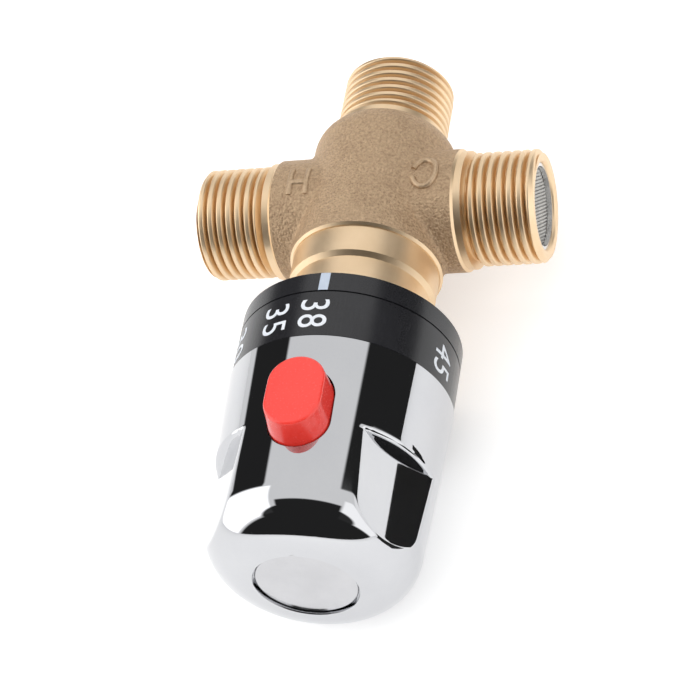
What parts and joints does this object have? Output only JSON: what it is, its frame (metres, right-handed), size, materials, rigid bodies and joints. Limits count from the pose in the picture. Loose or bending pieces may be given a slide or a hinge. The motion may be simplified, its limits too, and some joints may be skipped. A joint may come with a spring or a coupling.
{
  "type": "thermostatic mixing valve",
  "caption": "Brass thermostatic mixing valve with threaded hot, cold and mixed ports, a chromed temperature knob, a graduated ring and a red safety button.",
  "frame": {"origin": "on the barrel axis, half way along the outlet's thread", "axes": "+Y leaves through the mixed outlet and -Y points at the knob's end; -X is the hot inlet and +X the cold inlet; +Z passes 2.3 degrees from the index mark and the safety button"},
  "size_m": [0.0646, 0.1122, 0.0444],
  "materials": {
    "cast_brass": "bead-blasted casting with turned threads",
    "machined_brass": "turned",
    "acetal": "moulded",
    "rubber_seal": "smooth",
    "copper_element": "drawn copper",
    "spring_steel": "drawn wire",
    "polished_steel": "bright",
    "steel_mesh": "woven mesh",
    "black_plastic": "satin",
    "chrome_shell": "bright chrome plate",
    "red_plastic": "gloss",
    "check_plastic": "moulded"
  },
  "bodies": {
    "body": {"valve_body": "cast_brass", "cartridge_sleeve": "acetal", "sleeve_o_rings": "rubber_seal", "return_spring": "spring_steel", "bonnet_nut": "machined_brass", "bonnet_o_ring": "rubber_seal", "stop_ring": "black_plastic", "index_ring": "black_plastic", "hot_strainer_ring": "polished_steel", "hot_strainer_mesh": "steel_mesh", "hot_check_housing": "check_plastic", "hot_check_guide": "check_plastic", "hot_check_spring": "spring_steel", "cold_strainer_ring": "polished_steel", "cold_strainer_mesh": "steel_mesh", "cold_check_housing": "check_plastic", "cold_check_guide": "check_plastic", "cold_check_spring": "spring_steel"},
    "knob": {"knob_shell": "chrome_shell", "graduated_ring": "black_plastic", "knob_insert": "acetal", "knob_screw": "polished_steel", "end_disc": "chrome_shell", "spindle": "machined_brass", "spindle_o_rings": "rubber_seal", "spindle_clip": "spring_steel", "button_spring": "spring_steel"},
    "button": {"safety_button": "red_plastic"},
    "pusher": {"pusher": "machined_brass", "plunger_ring": "spring_steel", "overtravel_plunger": "acetal", "overtravel_spring": "spring_steel", "element_piston": "polished_steel"},
    "shuttle": {"shuttle": "acetal", "wax_element": "copper_element"},
    "hot_poppet": {"hot_check_poppet": "check_plastic"},
    "cold_poppet": {"cold_check_poppet": "check_plastic"}
  },
  "joints": [
    {"name": "knob_turn", "type": "hinge", "parent": "body", "child": "knob", "pos_m": [0, -0.0834, 0], "axis": [0, -1, 0], "range_deg": [-145, 0]},
    {"name": "button_press", "type": "slide", "parent": "knob", "child": "button", "axis": [-0.0401, 0, -0.9992], "range_m": [0, 0.0025], "stiffness_N_per_m": 400, "springref_m": -0.003, "deforming": ["button_spring"]},
    {"name": "pusher_slide", "type": "slide", "parent": "body", "child": "pusher", "axis": [0, 1, 0], "range_m": [0, 0.00081]},
    {"name": "shuttle_shift", "type": "slide", "parent": "body", "child": "shuttle", "axis": [0, 1, 0], "range_m": [-0.0008, 0.0008], "stiffness_N_per_m": 3000, "deforming": ["return_spring"]},
    {"name": "hot_check_open", "type": "slide", "parent": "body", "child": "hot_poppet", "axis": [1, 0, 0], "range_m": [0, 0.002], "stiffness_N_per_m": 100, "springref_m": -0.003, "deforming": ["hot_check_spring"]},
    {"name": "cold_check_open", "type": "slide", "parent": "body", "child": "cold_poppet", "axis": [-1, 0, 0], "range_m": [0, 0.002], "stiffness_N_per_m": 100, "springref_m": -0.003, "deforming": ["cold_check_spring"]}
  ],
  "couplings": [
    {"joint": "pusher_slide", "follows": "knob_turn", "m_per_rad": -0.0003183}
  ]
}
